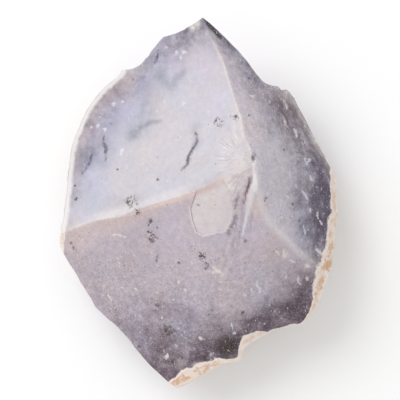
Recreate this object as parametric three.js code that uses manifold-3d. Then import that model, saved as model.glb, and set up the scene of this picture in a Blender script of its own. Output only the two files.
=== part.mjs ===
// Rough agate: half of a nodule of banded chalcedony, broken open by a few blows.
// Three large broken faces meet at an apex, smaller breaks trim its sides, and the lumpy
// rind is left on its back, on which the stone lies with a small flat spot.
//
// Millimetres, +Z up. The stone lies on the plane z = 0, its longest side along Y.

import * as THREE from "three";
import { mergeVertices } from "three/addons/utils/BufferGeometryUtils.js";
import Module from "manifold-3d";

const wasm = await Module();
wasm.setup();

// ---------------------------------------------------------------------------
// Driving dimensions
// ---------------------------------------------------------------------------

// The unbroken nodule. Its widest outline is given as [bearing in degrees, reach].
const WAIST_HEIGHT = 13;
const CROWN_HEIGHT = 46;
const CROWN_FULLNESS = 2.3;
const BELLY_DEPTH = 14;
const OUTLINE = [
  [0, 38.1], [10, 38.4], [17.3, 38.2], [28.6, 37.6], [39.5, 38.6], [50.7, 40.5], [62, 44.6],
  [72.8, 52.8], [85.7, 60.3], [96.5, 57.7], [109.4, 50.5], [120.7, 41.6], [130.3, 40.7],
  [140.5, 39.9], [149.9, 38.6], [161, 37.5], [171.4, 36.9], [184.3, 37.3], [194.6, 39.6],
  [203.6, 41.6], [213.6, 44.1], [228.3, 49.4], [239.9, 54.5], [250.2, 56], [258.6, 54],
  [265.4, 50.6], [270.5, 48.1], [276.1, 45.7], [280.8, 45], [285.3, 44.6], [286.6, 42.5],
  [289.4, 41.2], [294.5, 41.1], [300.3, 40.9], [306.1, 42], [311, 44], [319, 43.3],
  [326.4, 41.6], [336.8, 40.1], [347.5, 38.5],
];
const NODULE_DETAIL = 15;

// Rounded swellings of the rind below the waist: [bearing, fall below the horizon, both in
// degrees, height]. The rind lies lower between them.
const SWELLINGS = [
  [350, 25, 2.2], [318, 24, 1.6], [285, 30, 2.3], [262, 20, 1.6], [235, 42, 2.4],
  [200, 28, 2], [172, 20, 1.6], [150, 40, 2.3], [115, 48, 2], [80, 30, 2.2],
  [40, 24, 2], [15, 50, 2.2], [300, 56, 2.2], [212, 60, 1.8], [60, 56, 2],
];
const SWELLING_SPREAD = 12;
const SWELLING_BASE = 0.9;

// The three ridges, as points [x, y, z] from the nose, the heel and the shoulder to the apex.
const APEX = [14.8, 10.1, 46];
const NOSE_RIDGE = [
  [2.3, 46.3, 34], [4.4, 41.7, 35.2], [6.7, 36.6, 36.8], [8.3, 30.9, 38.4],
  [9.8, 26.1, 40.2], [11.1, 21.9, 42], [12.5, 15.8, 44.4],
];
const HEEL_RIDGE = [
  [-37.7, -8.6, 15], [-29.6, -5.4, 20.5], [-21.2, -3.5, 26], [-12.9, -0.8, 31],
  [-4.9, 1.6, 36], [3, 4.7, 41], [6.1, 6.3, 43],
];
const SHOULDER_RIDGE = [
  [32.8, -18.4, 24.5], [29.4, -15.6, 27.5], [25.4, -12.2, 31], [21.5, -8.7, 34.6],
  [18.2, -5, 38.2], [16.2, -0.2, 42], [15.4, 4.4, 44.6],
];

// Each broken face is a smooth sheet through its two ridges and points along its rim.
const LEFT_FACE = [
  APEX, ...NOSE_RIDGE, ...HEEL_RIDGE,
  [-35.6, 3.3, 13.5], [-35, 15.7, 14.5], [-30.4, 25.9, 16], [-24.2, 32.3, 19],
  [-18.6, 35.7, 21.5], [-13.1, 39.2, 24.2], [-9.6, 42.5, 26.8], [-3.6, 44.3, 30.2],
  [-13.1, 19.4, 25.2], [-24.2, 14.2, 19.6],
];
const RIGHT_FACE = [
  APEX, ...NOSE_RIDGE, ...SHOULDER_RIDGE,
  [10, 40.6, 29.5], [16.2, 32.5, 28], [24.2, 28.8, 24], [27.5, 23.6, 22.5],
  [33.1, 14.2, 20.5], [36.8, 3.3, 19], [37.1, -6.3, 19], [35.9, -13.6, 20.5], [25, 9.9, 30],
];
const FRONT_FACE = [
  APEX, ...HEEL_RIDGE, ...SHOULDER_RIDGE,
  [-36.7, -16.6, 13.5], [-28.6, -27.1, 14], [-19.5, -36.4, 15], [-12, -44.6, 16.5],
  [-4.8, -48.8, 18], [4.5, -43.2, 19], [12.2, -40.4, 19.5], [17.3, -36.3, 19.5],
  [27.7, -32.2, 19.5], [32, -25.3, 21], [-5, -23.7, 26.5], [-18.6, -18.5, 21.5],
  [11.1, -23.5, 29],
];
const CHEEK_FACE = [
  [22, 30.8, 25.2], [23.1, 24.8, 25], [25, 19.4, 25], [28.6, 14.6, 23.5], [33.1, 9.5, 21.2],
  [27.4, 28.1, 15], [29.7, 23.2, 15], [32.4, 17.1, 15], [35.7, 11.6, 15], [38.1, 7.8, 13],
];
const FACE_CELL = 2.6;
const CHEEK_CELL = 2;

// The broken sides lean in below their top edge. Each edge runs between two points, going
// round anticlockwise; a side bulges between them, and past each of them it draws back from
// the stone with a hollow radius. Each is scooped a little between its top and the ground.
const SIDES = [
  { from: [-37.7, -13.3, 13.3], to: [-28.8, -28.7, 13.4], lean: 30, bulge: -0.2, hollows: [10, 6] },
  { from: [-29.1, -29, 13.4], to: [-18.7, -38.7, 14.6], lean: 31, bulge: -0.4, hollows: [5, 12] },
  { from: [-18.9, -38.3, 14.6], to: [-5.4, -51.1, 16.8], lean: 32, bulge: 0.75, hollows: [12, 40] },
  { from: [36.6, 9.4, 15], to: [23.3, 31.1, 16], lean: 35, bulge: 0.8, hollows: [60, 60] },
  { from: [18.7, 31.2, 27], to: [1.2, 49, 33.5], lean: 25, bulge: 1.8, hollows: [2.6, 8] },
  { from: [0.4, 48.8, 33.5], to: [-9.6, 44.2, 26.8], lean: 30, bulge: -0.5, hollows: [30, 5] },
  { from: [-9.6, 44.1, 26.8], to: [-14.5, 39, 24], lean: 30, bulge: 0.1, hollows: [4, 4] },
  { from: [-14.3, 39.2, 24], to: [-19.7, 37.3, 21.5], lean: 30, bulge: 0.15, hollows: [3, 5] },
];
const SIDE_SCOOP = 1.4;
const SIDE_CELL = 2.2;

// A narrow bevel runs along the upper side of the heel ridge.
const BEVEL_INNER_EDGE = [[-24, 1.5], [-16.8, 0.5], [-9, 1.8], [-2, 4], [4, 6.6]];
const BEVEL_DROP = 0.45;

// A thin flake has come off the front face below the ridge; its outline in plan.
const FLAKE_OUTLINE = [
  [-2.2, -1.5], [-1.7, -4.7], [-0.6, -7.8], [1.2, -8.9], [4.3, -8.1], [6.9, -7.6],
  [8.2, -5.2], [9.5, -2.1], [6, 7], [0, 4.5],
];
const FLAKE_DEPTH = 0.4;

// Splintered grooves round the apex, each from its deep end to its fine end in plan.
const GROOVES = [
  { face: "front", from: [14, 6.6], to: [11.4, 0.2], width: 1.3, depth: 1.1 },
  { face: "front", from: [12.6, -1.5], to: [9.9, -15.5], width: 1, depth: 0.5 },
  { face: "front", from: [14.8, -1], to: [13.6, -12], width: 0.9, depth: 0.4 },
  { face: "left", from: [11.6, 10.6], to: [6, 11.8], width: 1.1, depth: 0.4 },
  { face: "left", from: [11.8, 12], to: [7.4, 16.6], width: 1.1, depth: 0.4 },
  { face: "left", from: [12.2, 14], to: [10.6, 19.6], width: 1, depth: 0.4 },
];

// Small shell-shaped chips along the rim: [x, y, z, radius].
const CHIPS = [
  [-4.6, 47, 30.4, 1.3], [-28.9, 30.6, 17.8, 1.5], [29.8, 24.8, 18.6, 1.5],
  [33.6, 18.4, 18.6, 1.4], [4.3, 47.9, 33.4, 1.2], [21.5, 31.7, 26.2, 1.5],
];

// Blocks that cut reach this far past the stone.
const REACH = 70;

// ---------------------------------------------------------------------------
// Solids
// ---------------------------------------------------------------------------

function solidFrom(geometry) {
  const bare = geometry.clone();
  bare.deleteAttribute("normal");
  bare.deleteAttribute("uv");
  const merged = mergeVertices(bare, 1e-4);
  return new wasm.Manifold(new wasm.Mesh({
    numProp: 3,
    vertProperties: new Float32Array(merged.attributes.position.array),
    triVerts: new Uint32Array(merged.index.array),
  }));
}

function geometryFrom(solid) {
  const mesh = solid.getMesh();
  const geometry = new THREE.BufferGeometry();
  const count = mesh.vertProperties.length / mesh.numProp;
  const positions = new Float32Array(count * 3);
  for (let i = 0; i < count; i += 1) {
    for (let axis = 0; axis < 3; axis += 1) {
      positions[i * 3 + axis] = mesh.vertProperties[i * mesh.numProp + axis];
    }
  }
  geometry.setAttribute("position", new THREE.BufferAttribute(positions, 3));
  geometry.setIndex(new THREE.BufferAttribute(new Uint32Array(mesh.triVerts), 1));
  geometry.computeVertexNormals();
  return geometry;
}

function moveVertices(geometry, place) {
  const position = geometry.attributes.position;
  const point = new THREE.Vector3();
  for (let i = 0; i < position.count; i += 1) {
    point.fromBufferAttribute(position, i);
    place(point);
    position.setXYZ(i, point.x, point.y, point.z);
  }
  return geometry;
}

// ---------------------------------------------------------------------------
// The nodule
// ---------------------------------------------------------------------------

// Reach of the outline at a bearing, by cubic pieces whose slopes follow the neighbours.
function outlineReach(bearing) {
  const count = OUTLINE.length;
  const turn = ((bearing % 360) + 360) % 360;
  let i = count - 1;
  while (OUTLINE[i][0] > turn) {
    i -= 1;
  }
  const at = (k) => {
    const lap = Math.floor(k / count);
    const [angle, reach] = OUTLINE[k - lap * count];
    return [angle + 360 * lap, reach];
  };
  const [a0, r0] = at(i);
  const [a1, r1] = at(i + 1);
  const span = a1 - a0;
  const slope = (k) => (at(k + 1)[1] - at(k - 1)[1]) / (at(k + 1)[0] - at(k - 1)[0]);
  const u = (turn - a0) / span;
  const start = (1 + 2 * u) * (1 - u) ** 2 * r0 + u * (1 - u) ** 2 * span * slope(i);
  const end = u * u * (3 - 2 * u) * r1 + u * u * (u - 1) * span * slope(i + 1);
  return start + end;
}

function directionOf(bearing, rise) {
  const b = THREE.MathUtils.degToRad(bearing);
  const r = THREE.MathUtils.degToRad(rise);
  return new THREE.Vector3(Math.cos(b) * Math.cos(r), Math.sin(b) * Math.cos(r), Math.sin(r));
}

function swellingHeight(direction) {
  let height = -SWELLING_BASE;
  for (const [bearing, fall, peak] of SWELLINGS) {
    const away = THREE.MathUtils.radToDeg(direction.angleTo(directionOf(bearing, -fall)));
    height += peak * Math.exp(-((away / SWELLING_SPREAD) ** 2));
  }
  return height * THREE.MathUtils.smoothstep(-direction.z, 0, 0.35);
}

// A ball is drawn out to the outline, a tall crown above the waist and a shallow belly below.
function noduleGeometry() {
  const ball = new THREE.IcosahedronGeometry(1, NODULE_DETAIL);
  return moveVertices(ball, (point) => {
    const direction = point.clone();
    const level = Math.hypot(point.x, point.y);
    const bearing = THREE.MathUtils.radToDeg(Math.atan2(point.y, point.x));
    const fullness = point.z > 0 ? 2 / CROWN_FULLNESS : 1;
    const share = level ** fullness;
    const swelling = swellingHeight(direction);
    const reach = outlineReach(bearing) * share + swelling * level;
    const drop = BELLY_DEPTH + swelling;
    const height = point.z > 0 ? CROWN_HEIGHT * point.z ** fullness : drop * point.z;
    const scale = level > 0 ? reach / level : 0;
    point.set(point.x * scale, point.y * scale, WAIST_HEIGHT + height);
  });
}

// ---------------------------------------------------------------------------
// Broken faces
// ---------------------------------------------------------------------------

function solveLinear(rows, values) {
  const size = values.length;
  const m = rows.map((row, i) => [...row, values[i]]);
  for (let c = 0; c < size; c += 1) {
    let best = c;
    for (let r = c + 1; r < size; r += 1) {
      if (Math.abs(m[r][c]) > Math.abs(m[best][c])) {
        best = r;
      }
    }
    [m[c], m[best]] = [m[best], m[c]];
    for (let r = 0; r < size; r += 1) {
      if (r !== c) {
        const factor = m[r][c] / m[c][c];
        for (let k = c; k <= size; k += 1) {
          m[r][k] -= factor * m[c][k];
        }
      }
    }
  }
  return m.map((row, i) => row[size] / row[i]);
}

// The smoothest sheet through the points: a function that gives its height at (x, y).
function sheetThrough(points) {
  const bend = (dx, dy) => {
    const squared = dx * dx + dy * dy;
    return squared > 0 ? 0.5 * squared * Math.log(squared) : 0;
  };
  const flat = ([x, y]) => [1, x, y];
  const rows = points.map((p) => [
    ...points.map((q) => bend(p[0] - q[0], p[1] - q[1])),
    ...flat(p),
  ]);
  for (let k = 0; k < 3; k += 1) {
    rows.push([...points.map((p) => flat(p)[k]), 0, 0, 0]);
  }
  const weights = solveLinear(rows, [...points.map((p) => p[2]), 0, 0, 0]);
  const count = points.length;
  return (x, y) => {
    let height = weights[count] + weights[count + 1] * x + weights[count + 2] * y;
    points.forEach((p, i) => {
      height += weights[i] * bend(x - p[0], y - p[1]);
    });
    return height;
  };
}

// A block standing over a sheet, which breaks off all that rises above it.
function blockOver(heightAt, cell) {
  const steps = Math.round((2 * REACH) / cell);
  const box = new THREE.BoxGeometry(2 * REACH, 2 * REACH, 1, steps, steps, 1);
  return moveVertices(box, (point) => {
    point.z = point.z > 0 ? 3 * REACH : heightAt(point.x, point.y);
  });
}

// A block outside one broken side, its inner wall leaning in below the top edge.
function blockBeside({ from, to, lean, bulge, hollows }) {
  const start = new THREE.Vector3(...from);
  const end = new THREE.Vector3(...to);
  const middle = start.clone().add(end).multiplyScalar(0.5);
  const along = end.clone().sub(start).setZ(0);
  const length = along.length();
  along.normalize();
  const out = new THREE.Vector3(along.y, -along.x, 0);
  const climb = Math.tan(THREE.MathUtils.degToRad(lean));
  const steps = Math.round((2 * REACH) / SIDE_CELL);
  const box = new THREE.BoxGeometry(2 * REACH, 2 * REACH, 1, steps, steps, 1);
  return moveVertices(box, (point) => {
    const u = point.x;
    const height = point.y;
    const inRange = THREE.MathUtils.clamp(u / length, -0.5, 0.5);
    const edgeHeight = middle.z + (end.z - start.z) * inRange;
    const past = Math.max(Math.abs(u) - length / 2, 0);
    const hollow = u < 0 ? hollows[0] : hollows[1];
    const swell = bulge * Math.max(1 - (2 * u / length) ** 2, 0);
    const share = THREE.MathUtils.clamp(height / edgeHeight, 0, 1);
    const scoop = SIDE_SCOOP * 4 * share * (1 - share);
    const inner = (height - edgeHeight) * climb + swell - scoop + past ** 2 / (2 * hollow);
    const outward = point.z > 0 ? Math.max(inner, 0) + REACH : inner;
    point.set(middle.x, middle.y, height).addScaledVector(along, u);
    point.addScaledVector(out, outward);
  });
}

// A flat-sided spindle lying in a face, deep at one end and running out at the other.
function grooveGeometry({ from, to, width, depth }, heightAt) {
  const deep = new THREE.Vector3(...from, heightAt(...from));
  const fine = new THREE.Vector3(...to, heightAt(...to));
  const span = fine.clone().sub(deep);
  const middle = deep.clone().addScaledVector(span, 0.3);
  const up = new THREE.Vector3(0, 0, 1);
  const side = new THREE.Vector3().crossVectors(up, span).normalize();
  const lift = new THREE.Vector3().crossVectors(span, side).normalize();
  const spindle = new THREE.OctahedronGeometry(1);
  return moveVertices(spindle, (point) => {
    const { x, y, z } = point;
    const reach = x > 0 ? 0.7 : 0.3;
    point.copy(middle).addScaledVector(span, x * reach);
    point.addScaledVector(side, y * width / 2).addScaledVector(lift, z * depth);
  });
}

// ---------------------------------------------------------------------------
// The stone
// ---------------------------------------------------------------------------

const sheets = {
  left: sheetThrough(LEFT_FACE),
  right: sheetThrough(RIGHT_FACE),
  front: sheetThrough(FRONT_FACE),
  cheek: sheetThrough(CHEEK_FACE),
};

const bevelSheet = sheetThrough([
  ...BEVEL_INNER_EDGE.map(([x, y]) => [x, y, sheets.left(x, y)]),
  ...HEEL_RIDGE.slice(2).map(([x, y, z]) => [x, y, z - BEVEL_DROP]),
  [-38, -8, 17], [-30, -5, 21.5],
]);

function flakeSolid() {
  const outline = new THREE.Shape(FLAKE_OUTLINE.map(([x, y]) => new THREE.Vector2(x, y)));
  const prism = new THREE.ExtrudeGeometry(outline, { depth: REACH, bevelEnabled: false });
  const over = blockOver((x, y) => sheets.front(x, y) - FLAKE_DEPTH, FACE_CELL);
  return solidFrom(over).intersect(solidFrom(prism));
}

function groundSolid() {
  const slab = new THREE.BoxGeometry(2 * REACH, 2 * REACH, REACH);
  slab.translate(0, 0, -REACH / 2);
  return solidFrom(slab);
}

function stoneSolid() {
  let stone = solidFrom(noduleGeometry());
  for (const name of ["left", "right", "front"]) {
    stone = stone.subtract(solidFrom(blockOver(sheets[name], FACE_CELL)));
  }
  stone = stone.subtract(solidFrom(blockOver(sheets.cheek, CHEEK_CELL)));
  stone = stone.subtract(solidFrom(blockOver(bevelSheet, FACE_CELL)));
  for (const side of SIDES) {
    stone = stone.subtract(solidFrom(blockBeside(side)));
  }
  stone = stone.subtract(flakeSolid());
  for (const groove of GROOVES) {
    stone = stone.subtract(solidFrom(grooveGeometry(groove, sheets[groove.face])));
  }
  for (const [x, y, z, radius] of CHIPS) {
    const chip = new THREE.IcosahedronGeometry(radius, 1).translate(x, y, z);
    stone = stone.subtract(solidFrom(chip));
  }
  return stone.subtract(groundSolid());
}

// The origin is under the middle of the stone's box, on the plane that it lies on.
function centred(geometry) {
  geometry.computeBoundingBox();
  const { min, max } = geometry.boundingBox;
  return geometry.translate(-(min.x + max.x) / 2, -(min.y + max.y) / 2, -min.z);
}

const agate = new THREE.Mesh(
  centred(geometryFrom(stoneSolid())),
  new THREE.MeshStandardMaterial({ color: 0xb9b1bb, roughness: 0.45, metalness: 0 }),
);
agate.name = "agate";

const group = new THREE.Group();
group.add(agate);

export default group;
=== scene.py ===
"""Rough agate: a broken nodule of chalcedony that lies on its rind."""
import math

import bpy
import numpy as np
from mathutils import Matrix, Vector, noise
from mathutils.bvhtree import BVHTree
from mathutils.kdtree import KDTree


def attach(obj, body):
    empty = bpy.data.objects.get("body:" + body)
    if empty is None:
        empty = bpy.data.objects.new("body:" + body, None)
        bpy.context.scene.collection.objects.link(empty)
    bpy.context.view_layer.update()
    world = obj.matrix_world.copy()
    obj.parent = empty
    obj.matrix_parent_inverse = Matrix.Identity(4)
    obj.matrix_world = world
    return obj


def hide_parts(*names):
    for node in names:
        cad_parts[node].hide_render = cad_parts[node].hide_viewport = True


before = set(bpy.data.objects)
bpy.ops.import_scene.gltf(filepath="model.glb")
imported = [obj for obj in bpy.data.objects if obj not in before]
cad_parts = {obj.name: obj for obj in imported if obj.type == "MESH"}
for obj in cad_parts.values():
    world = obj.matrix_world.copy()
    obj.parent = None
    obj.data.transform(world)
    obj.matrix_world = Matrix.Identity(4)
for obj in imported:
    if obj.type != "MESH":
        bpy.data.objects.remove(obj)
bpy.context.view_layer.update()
MM = 0.001

# ---- Survey of the stone, millimetres, heights from the plane it lies on ----

# Where the middle of the unbroken nodule lies in plan, from the middle of the stone's box.
SURVEY_TO_FRAME = Vector((0.13, 1.03, 0))

WAIST_HEIGHT = 13
CROWN_HEIGHT = 46
CROWN_FULLNESS = 2.3
BELLY_DEPTH = 14
# Outline in plan: bearing, reach.
OUTLINE = [
    (0, 38.1), (10, 38.4), (17.3, 38.2), (28.6, 37.6), (39.5, 38.6), (50.7, 40.5), (62, 44.6),
    (72.8, 52.8), (85.7, 60.3), (96.5, 57.7), (109.4, 50.5), (120.7, 41.6), (130.3, 40.7),
    (140.5, 39.9), (149.9, 38.6), (161, 37.5), (171.4, 36.9), (184.3, 37.3), (194.6, 39.6),
    (203.6, 41.6), (213.6, 44.1), (228.3, 49.4), (239.9, 54.5), (250.2, 56), (258.6, 54),
    (265.4, 50.6), (270.5, 48.1), (276.1, 45.7), (280.8, 45), (285.3, 44.6), (286.6, 42.5),
    (289.4, 41.2), (294.5, 41.1), (300.3, 40.9), (306.1, 42), (311, 44), (319, 43.3), (326.4, 41.6),
    (336.8, 40.1), (347.5, 38.5),
]

# Rounded swellings of the rind: bearing, fall below the horizon, height.
SWELLINGS = [
    (350, 25, 2.2), (318, 24, 1.6), (285, 30, 2.3), (262, 20, 1.6), (235, 42, 2.4), (200, 28, 2),
    (172, 20, 1.6), (150, 40, 2.3), (115, 48, 2), (80, 30, 2.2), (40, 24, 2), (15, 50, 2.2),
    (300, 56, 2.2), (212, 60, 1.8), (60, 56, 2),
]
SWELLING_SPREAD = 12
SWELLING_BASE = 0.9

# Ridges and rims: x, y, z. The rims end with points within their faces.
APEX = (14.8, 10.1, 46)
NOSE_RIDGE = [
    (2.3, 46.3, 34), (4.4, 41.7, 35.2), (6.7, 36.6, 36.8), (8.3, 30.9, 38.4), (9.8, 26.1, 40.2),
    (11.1, 21.9, 42), (12.5, 15.8, 44.4),
]
HEEL_RIDGE = [
    (-37.7, -8.6, 15), (-29.6, -5.4, 20.5), (-21.2, -3.5, 26), (-12.9, -0.8, 31), (-4.9, 1.6, 36),
    (3, 4.7, 41), (6.1, 6.3, 43),
]
SHOULDER_RIDGE = [
    (32.8, -18.4, 24.5), (29.4, -15.6, 27.5), (25.4, -12.2, 31), (21.5, -8.7, 34.6),
    (18.2, -5, 38.2), (16.2, -0.2, 42), (15.4, 4.4, 44.6),
]
LEFT_RIM = [
    (-35.6, 3.3, 13.5), (-35, 15.7, 14.5), (-30.4, 25.9, 16), (-24.2, 32.3, 19),
    (-18.6, 35.7, 21.5), (-13.1, 39.2, 24.2), (-9.6, 42.5, 26.8), (-3.6, 44.3, 30.2),
    (-13.1, 19.4, 25.2), (-24.2, 14.2, 19.6),
]
RIGHT_RIM = [
    (10, 40.6, 29.5), (16.2, 32.5, 28), (24.2, 28.8, 24), (27.5, 23.6, 22.5), (33.1, 14.2, 20.5),
    (36.8, 3.3, 19), (37.1, -6.3, 19), (35.9, -13.6, 20.5), (25, 9.9, 30),
]
FRONT_RIM = [
    (-36.7, -16.6, 13.5), (-28.6, -27.1, 14), (-19.5, -36.4, 15), (-12, -44.6, 16.5),
    (-4.8, -48.8, 18), (4.5, -43.2, 19), (12.2, -40.4, 19.5), (17.3, -36.3, 19.5),
    (27.7, -32.2, 19.5), (32, -25.3, 21), (-5, -23.7, 26.5), (-18.6, -18.5, 21.5),
    (11.1, -23.5, 29),
]
CHEEK = [
    (22, 30.8, 25.2), (23.1, 24.8, 25), (25, 19.4, 25), (28.6, 14.6, 23.5), (33.1, 9.5, 21.2),
    (27.4, 28.1, 15), (29.7, 23.2, 15), (32.4, 17.1, 15), (35.7, 11.6, 15), (38.1, 7.8, 13),
]

# Broken sides: top edge from and to, lean, bulge between them, hollows past them.
SIDES = [
    ((-37.7, -13.3, 13.3), (-28.8, -28.7, 13.4), 30, -0.2, (10, 6)),
    ((-29.1, -29, 13.4), (-18.7, -38.7, 14.6), 31, -0.4, (5, 12)),
    ((-18.9, -38.3, 14.6), (-5.4, -51.1, 16.8), 32, 0.75, (12, 40)),
    ((36.6, 9.4, 15), (23.3, 31.1, 16), 35, 0.8, (60, 60)),
    ((17, 32.9, 27.4), (1.2, 49, 33.5), 25, 1.6, (2.4, 8)),
    ((0.4, 48.8, 33.5), (-9.6, 44.2, 26.8), 30, -0.5, (30, 5)),
    ((-9.6, 44.1, 26.8), (-14.5, 39, 24), 30, 0.1, (4, 4)),
    ((-14.3, 39.2, 24), (-19.7, 37.3, 21.5), 30, 0.15, (3, 5)),
]
SIDE_SCOOP = 1.4

BEVEL_INNER_EDGE = [(-24, 1.5), (-16.8, 0.5), (-9, 1.8), (-2, 4), (4, 6.6)]
BEVEL_DROP = 0.45
BEVEL_END = [(-38, -8, 17), (-30, -5, 21.5)]

FLAKE_OUTLINE = [
    (-2.2, -1.5), (-1.7, -4.7), (-0.6, -7.8), (1.2, -8.9), (4.3, -8.1), (6.9, -7.6), (8.2, -5.2),
    (9.5, -2.1), (6, 7), (0, 4.5),
]
FLAKE_DEPTH = 0.4
FLAKE_PRISM = (20, 80)

# Chips along the rim: x, y, z, radius.
CHIPS = [
    (-4.6, 47, 30.4, 1.3), (-28.9, 30.6, 17.8, 1.5), (29.8, 24.8, 18.6, 1.5),
    (33.6, 18.4, 18.6, 1.4), (4.3, 47.9, 33.4, 1.2), (26.2, 34.6, 23, 6), (28.4, 34.4, 16.5, 6.2),
]

# ---- Shapes as formulas ----

GRAIN_DECAY = 0.9
GRAIN_STEP = 2


def sheet_through(points):
    """The smoothest sheet through the points, as a function of x and y."""
    spots = np.array(points, dtype=float)
    plan = spots[:, :2]

    def bend(away_squared):
        safe = np.maximum(away_squared, 1e-12)
        return np.where(away_squared > 0, 0.5 * away_squared * np.log(safe), 0.0)

    count = len(spots)
    gaps = ((plan[:, None] - plan[None]) ** 2).sum(axis=2)
    flat = np.column_stack([np.ones(count), plan])
    rows = np.zeros((count + 3, count + 3))
    rows[:count, :count] = bend(gaps)
    rows[:count, count:] = flat
    rows[count:, :count] = flat.T
    weights = np.linalg.solve(rows, np.concatenate([spots[:, 2], np.zeros(3)]))

    def height(x, y):
        total = weights[count] + weights[count + 1] * x + weights[count + 2] * y
        for (px, py), weight in zip(plan, weights):
            total = total + weight * bend((x - px) ** 2 + (y - py) ** 2)
        return total

    return height


def outline_reach(bearings):
    """Reach of the outline at each bearing, by cubic pieces."""
    table = np.array(OUTLINE, dtype=float)
    angles = np.concatenate([table[-2:, 0] - 360, table[:, 0], table[:3, 0] + 360])
    reach = np.concatenate([table[-2:, 1], table[:, 1], table[:3, 1]])
    slopes = np.zeros(len(reach))
    slopes[1:-1] = (reach[2:] - reach[:-2]) / (angles[2:] - angles[:-2])
    turn = np.mod(bearings, 360)
    i = np.searchsorted(angles, turn, side="right") - 1
    span = angles[i + 1] - angles[i]
    u = (turn - angles[i]) / span
    start = (1 + 2 * u) * (1 - u) ** 2 * reach[i] + u * (1 - u) ** 2 * span * slopes[i]
    end = u * u * (3 - 2 * u) * reach[i + 1] + u * u * (u - 1) * span * slopes[i + 1]
    return start + end


def smoothstep(low, high, value):
    """0 at low and 1 at high, eased at both ends; low may be the greater."""
    share = np.clip((value - low) / (high - low), 0, 1)
    return share * share * (3 - 2 * share)


def swelling_height(directions):
    """Height of the rind's swellings, which fade out at the waist."""
    height = np.full(len(directions), -SWELLING_BASE)
    for bearing, fall, peak in SWELLINGS:
        b, f = math.radians(bearing), math.radians(-fall)
        centre = np.array([math.cos(b) * math.cos(f), math.sin(b) * math.cos(f), math.sin(f)])
        away = np.degrees(np.arccos(np.clip(directions @ centre, -1, 1)))
        height += peak * np.exp(-((away / SWELLING_SPREAD) ** 2))
    return height * smoothstep(0, 0.35, -directions[:, 2])


def grain(points, scale, octaves, seed):
    """Fractal noise, about -1 to 1, at millimetre points."""
    shift = Vector((seed, 2.3 * seed, -1.7 * seed))
    return np.array([
        noise.fractal(Vector(p) / scale + shift, GRAIN_DECAY, GRAIN_STEP, octaves)
        for p in points
    ])


def distance_to_line(x, y, line):
    """Distance in plan to a line of straight pieces, and the share of its length reached."""
    spots = np.array([p[:2] for p in line], dtype=float)
    lengths = np.hypot(*(spots[1:] - spots[:-1]).T)
    ends = np.concatenate([[0], np.cumsum(lengths)])
    best = np.full(np.shape(x), np.inf)
    share = np.zeros(np.shape(x))
    for k, (a, b) in enumerate(zip(spots[:-1], spots[1:])):
        step = b - a
        t = np.clip(((x - a[0]) * step[0] + (y - a[1]) * step[1]) / (step @ step), 0, 1)
        away = np.hypot(x - a[0] - t * step[0], y - a[1] - t * step[1])
        nearer = away < best
        best = np.where(nearer, away, best)
        share = np.where(nearer, (ends[k] + t * lengths[k]) / ends[-1], share)
    return best, share


# ---- Making and cutting meshes ----


def vertex_array(mesh, values="co"):
    """The places of a mesh's vertices, or their normals."""
    flat = np.empty(len(mesh.vertices) * 3, dtype=np.float32)
    mesh.vertices.foreach_get(values, flat)
    return flat.reshape(-1, 3).astype(float)


def set_vertices(mesh, points):
    """Put a mesh's vertices at places of the survey."""
    mesh.vertices.foreach_set("co", survey_to_scene(points).astype(np.float32).ravel())
    mesh.update()


def deselect():
    bpy.ops.object.select_all(action="DESELECT")


def survey_to_scene(points):
    return (np.asarray(points) + np.array(SURVEY_TO_FRAME)) * MM


def whole_nodule():
    """A ball drawn out to the outline, tall above the waist and shallow below."""
    deselect()
    bpy.ops.mesh.primitive_ico_sphere_add(subdivisions=7)
    nodule = bpy.context.object
    nodule.name = "agate_stone"
    unit = vertex_array(nodule.data)
    unit /= np.linalg.norm(unit, axis=1, keepdims=True)
    east, north, up = unit.T
    level = np.hypot(east, north)
    bearing = np.degrees(np.arctan2(north, east))
    share = np.where(up > 0, level ** (2 / CROWN_FULLNESS), level)
    swelling = swelling_height(unit)
    reach = outline_reach(bearing) * share + swelling * level
    scale = reach / np.maximum(level, 1e-9)
    crown = CROWN_HEIGHT * np.abs(up) ** (2 / CROWN_FULLNESS)
    height = np.where(up > 0, crown, (BELLY_DEPTH + swelling) * up)
    points = np.column_stack([east * scale, north * scale, WAIST_HEIGHT + height])
    lumps = 0.35 * grain(points, 7, 3, 1) + 0.2 * grain(points, 1.6, 3, 2)
    outward = points - np.array([0, 0, WAIST_HEIGHT])
    outward /= np.linalg.norm(outward, axis=1, keepdims=True)
    points += outward * lumps[:, None]
    set_vertices(nodule.data, points)
    return nodule


FACE_CELL = 0.42
FLAKE_CELL = 0.5
SIDE_CELL = 0.7
FACE_SPAN = (90, 116)
SIDE_LENGTH = 120
SIDE_HEIGHT = 60
SIDE_MIDDLE = 25
FACE_BLOCK = 90
SIDE_BLOCK = 70


def grid_sheet(width, height, cell):
    """A flat grid, and the places of its vertices from -1 to 1 each way."""
    deselect()
    bpy.ops.mesh.primitive_grid_add(
        x_subdivisions=round(width / cell), y_subdivisions=round(height / cell), size=2)
    sheet = bpy.context.object
    across, along, _ = vertex_array(sheet.data).T
    return sheet, across, along


def thicken(sheet, points, direction, depth):
    """Put the active sheet's vertices at the points and extrude it into a closed block."""
    set_vertices(sheet.data, points)
    bpy.ops.object.mode_set(mode="EDIT")
    bpy.ops.mesh.select_all(action="SELECT")
    move = tuple(depth * MM * d for d in direction)
    bpy.ops.mesh.extrude_region_move(TRANSFORM_OT_translate={"value": move})
    bpy.ops.mesh.select_all(action="SELECT")
    bpy.ops.mesh.normals_make_consistent()
    bpy.ops.object.mode_set(mode="OBJECT")
    return sheet


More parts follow.
